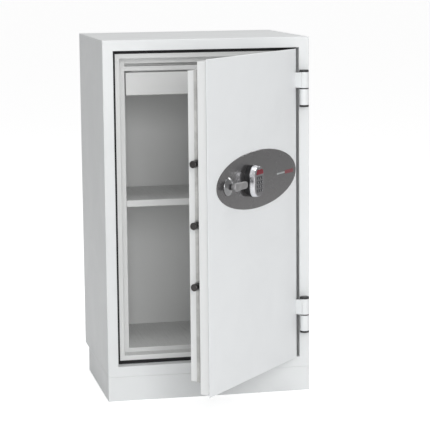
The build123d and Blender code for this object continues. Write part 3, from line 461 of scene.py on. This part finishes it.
def moulded(name, colour, pale, smoothest, roughest, grain=2600.0, depth=0.00004):
    """Moulded plastic with a fine spark-eroded grain and slightly polished edges."""
    material, tree, shader = blank_material(name)
    place = put(tree, "TexCoord").outputs["Object"]
    pits = put(tree, "TexVoronoi", {"Vector": place, "Scale": grain}, feature="SMOOTH_F1")
    marks = use(tree, RUB_MARKS, Patches_per_metre=45.0, Smoothest=smoothest, Roughest=roughest)
    edges = use(tree, EDGE_WEAR, Width=0.0006, Amount=0.45)
    tone = mixed(tree, marks.outputs["Mask"], colour, [1.25 * c for c in colour])
    tree.links.new(mixed(tree, edges.outputs["Mask"], tone, pale), shader.inputs["Base Color"])
    tree.links.new(marks.outputs["Roughness"], shader.inputs["Roughness"])
    relief(tree, shader, pits.outputs["Distance"], depth)
    return material


black_plastic = moulded("black_moulded_plastic", (0.014, 0.014, 0.015), (0.06, 0.06, 0.06), 0.32, 0.5)
pin_steel = worked_metal("ground_pin_steel", (0.55, 0.55, 0.54), (0.8, 0.8, 0.8), (0.0, 0.0, 1.0), 0.16, 0.3)
dress(white_coat, "hinge_frame_leaves", "hinge_door_leaves")
dress(pin_steel, "hinge_pins")
dress(black_plastic, "hinge_washers", "hinge_lower_caps", "hinge_upper_caps")

# Door: a flat skin on a folded band, with the smaller plug cover behind it, all in white powder.
# The band is sprayed with the rest but stays a little duller than the skin.
door_coat = powder_coat("door_powder_coat", (0.735, 0.75, 0.76), (0.86, 0.87, 0.87), 0.3, 0.48, dust=0.05)
band_coat = powder_coat("band_powder_coat", (0.73, 0.74, 0.74), (0.84, 0.85, 0.85), 0.36, 0.55, dust=0.05)
dress(door_coat, "door_skin")
dress(band_coat, "door_band", "inner_cover")

# Plug seal: a grey strip round the plug that swells in a fire. It is a rolled graphite compound in
# a thin film, so it is matt and finely grained.
dress(ribbed_rubber("swelling_strip", (0.42, 0.42, 0.41), (0.5, 0.5, 0.49)), "plug_seal")

# Boltwork: three turned chromed steel bolts that slide in flanged grey collars, their colour darkened
# as painted dark reflection and painted shade. The bar, the plate behind it and the lock case are plain
# pressed steel inside the door.
bolt_joint = next(j for j in frame["joints"] if j["name"] == "boltwork_slide")
along_door = Vector(bolt_joint["axis"])
# Near-black base colour on the bolts: painted dark reflection and painted shade on chrome.
bolt_chrome_darkened = worked_metal(
    "bolt_chrome_painted_dark", (0.105, 0.10, 0.10), (0.4, 0.4, 0.4), tuple(along_door), 0.14, 0.3)
collar_steel = worked_metal(
    "grey_collars", (0.46, 0.46, 0.46), (0.7, 0.7, 0.7), tuple(along_door), 0.3, 0.48)
pressed_steel = worked_metal(
    "pressed_steel", (0.42, 0.42, 0.41), (0.66, 0.66, 0.65), (0.0, 0.0, 1.0), 0.35, 0.55, lines=900.0)
dress(bolt_chrome_darkened, "live_bolts")
dress(collar_steel, "bolt_collars")
dress(pressed_steel, "bolt_bar", "mechanism_plate", "lock_case", "lock_bolt", "drive_crank", "spindle")

# Lock plate: an oval of sheet steel, finished in a dark grey metallic lacquer with a clear coat over
# it. Two plain stripes, one pale and one red, are printed near its hinge end.


def metallic_lacquer(name, colour, flake):
    """Dark lacquer with fine metal flakes under a clear coat."""
    material, tree, shader = blank_material(name)
    place = put(tree, "TexCoord").outputs["Object"]
    flakes = put(tree, "TexVoronoi", {"Vector": place, "Scale": 2600.0})
    glint = put(tree, "SeparateColor", {0: flakes.outputs["Color"]}).outputs[1]
    bright = put(tree, "MapRange", {"Value": glint, "From Min": 0.5, "From Max": 1.0})
    tone = mixed(tree, bright.outputs[0], colour, flake)
    edges = use(tree, EDGE_WEAR, Width=0.001, Amount=0.5)
    tree.links.new(mixed(tree, edges.outputs["Mask"], tone, (0.45, 0.46, 0.45)), shader.inputs["Base Color"])
    marks = use(tree, RUB_MARKS, Patches_per_metre=14.0, Smoothest=0.2, Roughest=0.32)
    tree.links.new(marks.outputs["Roughness"], shader.inputs["Roughness"])
    shader.inputs["Metallic"].default_value = 0.75
    shader.inputs["Coat Weight"].default_value = 0.6
    shader.inputs["Coat Roughness"].default_value = 0.12
    peel = use(tree, COAT_RELIEF, Waves_per_metre=160.0, Grain_per_metre=900.0, Grain_share=0.1)
    relief(tree, shader, peel.outputs["Height"], 0.00005, fold=0.0012)
    return material


dress(metallic_lacquer("dark_plate_lacquer", (0.098, 0.095, 0.097), (0.17, 0.168, 0.17)), "lock_plate")


def printed_ink(name, colour, worn):
    """Screen-printed ink: thin, slightly raised, and rubbed at its edges."""
    material, tree, shader = blank_material(name)
    marks = use(tree, RUB_MARKS, Patches_per_metre=120.0, Smoothest=0.35, Roughest=0.5)
    tree.links.new(mixed(tree, marks.outputs["Mask"], colour, worn), shader.inputs["Base Color"])
    tree.links.new(marks.outputs["Roughness"], shader.inputs["Roughness"])
    grain = use(tree, COAT_RELIEF, Waves_per_metre=900.0, Grain_per_metre=3000.0, Grain_share=0.4)
    relief(tree, shader, grain.outputs["Height"], 0.00003)
    return material


dress(printed_ink("pale_stripe_ink", (0.34, 0.36, 0.36), (0.28, 0.30, 0.30)), "stripe_pale")
dress(printed_ink("red_stripe_ink", (0.19, 0.03, 0.04), (0.14, 0.03, 0.038)), "stripe_red")

# Handle: a die-cast lever in satin grey. It is one casting: a round hub on a turned neck, and a
# paddle that tapers a little and is hollowed in front for the thumb.
turning = next(j for j in frame["joints"] if j["name"] == "handle_turn")
hub = Vector(turning["pos_m"])
outward = -Vector(turning["axis"])
up = Vector((0.0, 0.0, 1.0))


def on_door(centre, along, rise, out):
    """A point given by its distance along the door, up it, and out from it, counted from a centre."""
    return centre + along_door * along + up * rise + outward * out


satin_grey = worked_metal(
    "satin_die_casting", (0.40, 0.395, 0.40), (0.7, 0.7, 0.7), tuple(up), 0.42, 0.58,
    lines=1400.0, breaks=60.0)
HUB_ROUND = 0.0128
LEVER_REACH = 0.065
PADDLE_HALF = 0.0104
END_ROUND = 0.009
END_KEPT = 0.999
TAPER_LENGTH = 0.03
DISH_DEPTH = 0.0011
DISH_START = 0.012
DISH_LENGTH = 0.05
EDGE_ROUND = 0.002
SQUARENESS = 0.34
LEVER_BEHIND = 0.0066
LEVER_BEFORE = 0.0063
RING = 40
STATIONS = (
    -0.0127, -0.0124, -0.0116, -0.0100, -0.0075, -0.0045, -0.0010, 0.0040, 0.0100, 0.0180, 0.0280,
    0.0380, 0.0480, 0.0560, 0.0595, 0.0620, 0.0636, 0.0646, 0.0650,
)


def lever_half(along):
    """Half the lever's height: round at the hub, a slow taper, and a rounded end."""
    if along < 0.0:
        return math.sqrt(HUB_ROUND ** 2 - along ** 2)
    taper = min(along / TAPER_LENGTH, 1.0)
    half = HUB_ROUND + (PADDLE_HALF - HUB_ROUND) * taper * taper * (3 - 2 * taper)
    past = along - (LEVER_REACH - END_ROUND)
    if past > 0.0:
        half -= END_ROUND - math.sqrt(max(END_ROUND ** 2 - past ** 2, 0.0)) * END_KEPT
    return half


def lever_points():
    """Square-shouldered sections along the lever; the front is dished a little towards the paddle."""
    points = []
    for along in STATIONS:
        half = lever_half(along)
        dish = DISH_DEPTH * math.sin(math.pi * min(max((along - DISH_START) / DISH_LENGTH, 0.0), 1.0))
        end = min((along - STATIONS[0]) / EDGE_ROUND, (STATIONS[-1] - along) / EDGE_ROUND, 1.0)
        shoulder = 0.55 + 0.45 * math.sqrt(max(end, 0.0))
        for n in range(RING):
            angle = 2 * math.pi * n / RING
            side, face = math.cos(angle), math.sin(angle)
            rise = half * math.copysign(abs(side) ** SQUARENESS, side)
            depth = LEVER_BEFORE if face > 0 else LEVER_BEHIND
            out = depth * shoulder * math.copysign(abs(face) ** SQUARENESS, face)
            if face > 0.0:
                out -= dish * face ** SQUARENESS * (1.0 - 0.5 * abs(side))
            points.append(on_door(hub, along, rise, out))
    return points


def skin_rings(rings, count):
    """Faces between successive rings of points, with both ends closed."""
    faces = [tuple(range(count))]
    for ring in range(rings - 1):
        for n in range(count):
            here, there = ring * count + n, ring * count + (n + 1) % count
            faces.append((here, there, there + count, here + count))
    faces.append(tuple(reversed(range((rings - 1) * count, rings * count))))
    return faces


lever = mesh_piece("cast_lever", lever_points(), skin_rings(len(STATIONS), RING), satin_grey)
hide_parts("handle_lever")
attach(lever, "handle")


def turned(name, centre, profile, material, bored=False, steps=72):
    """A piece turned on a lathe about the line out of the door. Profile: radius, out. Bored: a ring."""
    points = []
    for radius, out in profile:
        for n in range(steps):
            angle = 2 * math.pi * n / steps
            points.append(on_door(centre, radius * math.cos(angle), radius * math.sin(angle), out))
    faces = skin_rings(len(profile), steps)
    if bored:
        last = (len(profile) - 1) * steps
        faces = faces[1:-1] + [(n, last + n, last + (n + 1) % steps, (n + 1) % steps) for n in range(steps)]
    return mesh_piece(name, points, faces, material)


NECK = (
    (0.0070, -0.0250), (0.0070, -0.0112), (0.0082, -0.0104), (0.0096, -0.0094), (0.0102, -0.0080),
    (0.0096, -0.0050),
)
neck = turned("lever_neck", hub, NECK, satin_grey)
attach(neck, "handle")

# Rose: a shallow chromed dome pressed from sheet, with a hole for the lever's neck; its colour is darkened
# as a painted dark reflection. It screws to the plate under the lever, and its polish mirrors whatever stands
# round it.
rose_chrome_with_painted_reflection = worked_metal(
    "rose_chrome_with_painted_reflection", (0.30, 0.30, 0.305), (0.7, 0.7, 0.7), tuple(up), 0.14, 0.26,
    lines=700.0, breaks=40.0, depth=0.000004)
ROSE_ROUND = 0.027
ROSE_RIM = 0.0012
ROSE_BORE = 0.0076
ROSE_RINGS = 14
rose_points = [v.co for v in frame["nodes"]["handle_rose"].data.vertices]
rose_back = min(p.dot(outward) for p in rose_points) - hub.dot(outward)
rose_front = max(p.dot(outward) for p in rose_points) - hub.dot(outward)
rose_rise = rose_front - rose_back - ROSE_RIM
dome_round = (ROSE_ROUND ** 2 + rose_rise ** 2) / (2 * rose_rise)
rose_profile = [(ROSE_BORE, rose_back), (ROSE_ROUND, rose_back)]
for n in range(ROSE_RINGS + 1):
    radius = ROSE_ROUND + (ROSE_BORE - ROSE_ROUND) * n / ROSE_RINGS
    rose_profile.append((radius, rose_front - dome_round + math.sqrt(dome_round ** 2 - radius ** 2)))
rose = turned("domed_rose", hub, rose_profile, rose_chrome_with_painted_reflection, bored=True)
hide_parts("handle_rose")
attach(rose, "door")

# Keypad: a black plastic base, a bright-plated body with a rounded rim, and a grey panel with twelve
# keys under a dark red display window. The circuit board and its cable are inside.


def plating(name, colour):
    """Bright plating on plastic: almost a mirror, with a faint ripple and finger marks."""
    material, tree, shader = blank_material(name)
    marks = use(tree, RUB_MARKS, Patches_per_metre=60.0, Smoothest=0.14, Roughest=0.3)
    tone = mixed(tree, marks.outputs["Mask"], colour, [0.9 * c for c in colour])
    tree.links.new(tone, shader.inputs["Base Color"])
    tree.links.new(marks.outputs["Roughness"], shader.inputs["Roughness"])
    shader.inputs["Metallic"].default_value = 1.0
    ripple = use(tree, COAT_RELIEF, Waves_per_metre=180.0, Grain_per_metre=1500.0, Grain_share=0.1)
    relief(tree, shader, ripple.outputs["Height"], 0.00004)
    return material


bright_plating = plating("bright_plating", (0.86, 0.86, 0.89))
panel_plastic = moulded("grey_panel_plastic", (0.125, 0.122, 0.127), (0.2, 0.2, 0.21), 0.35, 0.5)
dress(black_plastic, "keypad_base", "keypad_cable")
dress(panel_plastic, "keypad_panel")
body_points = [v.co for v in frame["nodes"]["keypad_body"].data.vertices]
along_all = [p.dot(along_door) for p in body_points]
keypad_low, keypad_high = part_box("keypad_body")
keypad_front = max(p.dot(outward) for p in body_points)
keypad_back = min(p.dot(outward) for p in body_points)
keypad_middle = (
    along_door * ((min(along_all) + max(along_all)) / 2)
    + outward * keypad_back
    + up * ((keypad_low.z + keypad_high.z) / 2)
)
KEYPAD_WIDE = max(along_all) - min(along_all)
KEYPAD_TALL = keypad_high.z - keypad_low.z
KEYPAD_DEEP = keypad_front - keypad_back
END_STEPS = 28


def keypad_outline(inset):
    """The keypad's upright outline with half-round ends, drawn in by inset."""
    radius = KEYPAD_WIDE / 2 - inset
    straight = (KEYPAD_TALL - KEYPAD_WIDE) / 2
    outline = []
    for end in (1, -1):
        for n in range(END_STEPS + 1):
            angle = math.pi * n / END_STEPS
            outline.append((end * radius * math.cos(angle), end * (straight + radius * math.sin(angle))))
    return outline


def keypad_ring(name, profile, material):
    """A closed ring along the keypad's outline. Profile: inset from the outline, out from the base."""
    points = [
        on_door(keypad_middle, along, rise, out)
        for inset, out in profile
        for along, rise in keypad_outline(inset)
    ]
    count = 2 * (END_STEPS + 1)
    rings = len(profile)
    faces = []
    for ring in range(rings):
        for n in range(count):
            here, there = ring * count, ((ring + 1) % rings) * count
            faces.append((here + n, here + (n + 1) % count, there + (n + 1) % count, there + n))
    return mesh_piece(name, points, faces, material)


BODY_PROFILE = (
    (0.0, 0.0), (0.0001, 0.0012), (0.0006, 0.0040), (0.0014, 0.0080), (0.0023, 0.0120), (0.0031, 0.0150),
    (0.0036, 0.0163), (0.0042, 0.0171), (0.0049, 0.0174), (0.0053, 0.0170), (0.0055, 0.0160), (0.0055, 0.0),
)
body = keypad_ring("plated_body", BODY_PROFILE, bright_plating)
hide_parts("keypad_body")
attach(body, "door")
BEZEL_PROFILE = (
    (0.0054, 0.0168), (0.0046, 0.0175), (0.0045, 0.0180), (0.0048, 0.0186), (0.0055, KEYPAD_DEEP),
    (0.0064, KEYPAD_DEEP), (0.0068, 0.0187), (0.0068, 0.0168),
)
bezel = keypad_ring("panel_bezel", BEZEL_PROFILE, panel_plastic)
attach(bezel, "door")


def display_window():
    """Dark red window over the display: glossy, with finger marks."""
    material, tree, shader = blank_material("red_display_window")
    marks = use(tree, RUB_MARKS, Patches_per_metre=90.0, Smoothest=0.06, Roughest=0.2)
    tone = mixed(tree, marks.outputs["Mask"], (0.13, 0.003, 0.012), (0.19, 0.005, 0.018))
    tree.links.new(tone, shader.inputs["Base Color"])
    tree.links.new(marks.outputs["Roughness"], shader.inputs["Roughness"])
    shader.inputs["Specular IOR Level"].default_value = 0.3
    ripple = use(tree, COAT_RELIEF, Waves_per_metre=240.0, Grain_per_metre=2000.0, Grain_share=0.05)
    relief(tree, shader, ripple.outputs["Height"], 0.00002)
    return material


window_red = display_window()
WINDOW_MARGIN = 0.0068
WINDOW_HALF = 0.022
WINDOW_FOOT = 0.0207
WINDOW_HEAD = 0.0354


def window_outline(inset):
    """The window's outline: flat foot and head, upright sides, and shoulders like the keypad's end."""
    radius = KEYPAD_WIDE / 2 - WINDOW_MARGIN - inset
    straight = (KEYPAD_TALL - KEYPAD_WIDE) / 2
    first = math.acos((WINDOW_HALF - inset) / radius)
    last = math.asin((WINDOW_HEAD - inset - straight) / radius)
    angles = [first + (last - first) * n / END_STEPS for n in range(END_STEPS + 1)]
    right = [(radius * math.cos(angle), straight + radius * math.sin(angle)) for angle in angles]
    right.insert(0, (WINDOW_HALF - inset, WINDOW_FOOT + inset))
    return right + [(-along, rise) for along, rise in reversed(right)]


WINDOW_STEPS = ((0.0, 0.0183), (0.0, 0.0189), (0.0002, 0.0191), (0.0006, 0.01925), (0.0025, 0.01935))
window_points = [
    on_door(keypad_middle, along, rise, out)
    for inset, out in WINDOW_STEPS
    for along, rise in window_outline(inset)
]
window_faces = skin_rings(len(WINDOW_STEPS), 2 * (END_STEPS + 2))
window = mesh_piece("display_window", window_points, window_faces, window_red)
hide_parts("keypad_display")
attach(window, "door")


def circuit_board():
    """Green board with copper tracks under its lacquer."""
    material, tree, shader = blank_material("green_circuit_board")
    place = put(tree, "TexCoord").outputs["Object"]
    tracks = put(tree, "TexBrick", {"Vector": place, "Scale": 240.0, "Mortar Size": 0.08})
    tone = mixed(tree, tracks.outputs["Fac"], (0.012, 0.10, 0.035), (0.05, 0.22, 0.09))
    tree.links.new(tone, shader.inputs["Base Color"])
    marks = use(tree, RUB_MARKS, Patches_per_metre=80.0, Smoothest=0.25, Roughest=0.45)
    tree.links.new(marks.outputs["Roughness"], shader.inputs["Roughness"])
    relief(tree, shader, tracks.outputs["Fac"], 0.00005)
    return material


dress(circuit_board(), "keypad_board")

# Keys: twelve moulded keys, each with its figure printed in white on the face: nine digits, then
# a star, nought and a hash as on a telephone.
key_plastic = moulded("key_plastic", (0.035, 0.036, 0.04), (0.09, 0.09, 0.1), 0.38, 0.55)
white_ink = printed_ink("white_key_ink", (0.62, 0.62, 0.63), (0.52, 0.52, 0.53))
FIGURES = ("1", "2", "3", "4", "5", "6", "7", "8", "9", "*", "0", "#")
FIGURE_HEIGHT = 0.0052
TEXT_SIZE_OF_HEIGHT = 1.35
INK = 0.00004
for number, figure in enumerate(FIGURES, start=1):
    key = f"key_{number:02d}"
    dress(key_plastic, key)
    points = [v.co for v in frame["nodes"][key].data.vertices]
    middle = sum(points, Vector()) / len(points)
    face = max((p - middle).dot(outward) for p in points)
    low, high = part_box(key)
    across = sorted((p - middle).dot(along_door) for p in points)
    centre = on_door(middle, (across[0] + across[-1]) / 2, (low.z + high.z) / 2 - middle.z, face)
    text = bpy.data.curves.new(f"{key}_text", "FONT")
    text.body = figure
    text.size = FIGURE_HEIGHT * TEXT_SIZE_OF_HEIGHT
    text.align_x = "CENTER"
    text.extrude = INK
    text.resolution_u = 3
    holder = bpy.data.objects.new(f"{key}_holder", text)
    bpy.context.scene.collection.objects.link(holder)
    bpy.context.view_layer.update()
    flat = bpy.data.meshes.new_from_object(holder.evaluated_get(bpy.context.evaluated_depsgraph_get()))
    bpy.data.objects.remove(holder)
    rise = (max(v.co.y for v in flat.vertices) + min(v.co.y for v in flat.vertices)) / 2
    spots = [on_door(centre, v.co.x, v.co.y - rise, v.co.z) for v in flat.vertices]
    flat_faces = [tuple(p.vertices) for p in flat.polygons]
    legend = mesh_piece(f"{key}_figure", spots, flat_faces, white_ink, smooth=False)
    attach(legend, f"{key}_body")

# Floor and light: a plain pale floor that runs on past the view, a soft box low in front, another
# overhead, a third behind on the right, and an even pale surround.
floor_material, floor_tree, floor_shader = blank_material("pale_floor")
floor_shader.inputs["Base Color"].default_value = (0.93, 0.93, 0.93, 1.0)
floor_shader.inputs["Roughness"].default_value = 0.9
FLOOR_GLOW = 0.5
glow = sum_of(floor_tree, put(floor_tree, "LightPath").outputs["Is Camera Ray"], FLOOR_GLOW, "MULTIPLY")
floor_shader.inputs["Emission Color"].default_value = (1.0, 1.0, 1.0, 1.0)
floor_tree.links.new(glow, floor_shader.inputs["Emission Strength"])
FLOOR_HALF = 80.0
floor_corners = [(x * FLOOR_HALF, y * FLOOR_HALF, 0.0) for x, y in ((-1, -1), (1, -1), (1, 1), (-1, 1))]
floor = mesh_piece("floor", floor_corners, [(0, 1, 2, 3)], floor_material, smooth=False)


def soft_light(name, place, target, size, power):
    """A square soft box that shines from a place towards a target."""
    lamp = bpy.data.objects.new(name, bpy.data.lights.new(name, "AREA"))
    bpy.context.scene.collection.objects.link(lamp)
    lamp.data.shape = "SQUARE"
    lamp.data.size = size
    lamp.data.energy = power
    lamp.location = place
    lamp.rotation_mode = "QUATERNION"
    lamp.rotation_quaternion = (Vector(target) - Vector(place)).to_track_quat("-Z", "Y")


soft_light("front_soft_box", (-0.3, -5.6, 1.9), (0.0, 0.0, 0.6), 2.6, 138.0)
soft_light("overhead_soft_box", (0.2, -0.9, 4.6), (0.0, 0.0, 0.8), 2.2, 46.0)
soft_light("rear_soft_box", (3.4, 2.3, 2.9), (0.0, 0.0, 0.9), 1.3, 48.0)
world = bpy.data.worlds.new("studio")
bpy.context.scene.world = world
world.use_nodes = True
surround = world.node_tree.nodes["Background"]
SURROUND_LIGHT = 0.51
SURROUND_SEEN = 0.95
seen = put(world.node_tree, "LightPath").outputs["Is Camera Ray"]
strength = put(
    world.node_tree, "MapRange", {"Value": seen, "To Min": SURROUND_LIGHT, "To Max": SURROUND_SEEN})
world.node_tree.links.new(strength.outputs[0], surround.inputs["Strength"])
surround.inputs["Color"].default_value = (1.0, 1.0, 1.0, 1.0)
bpy.context.scene.view_settings.view_transform = "Standard"
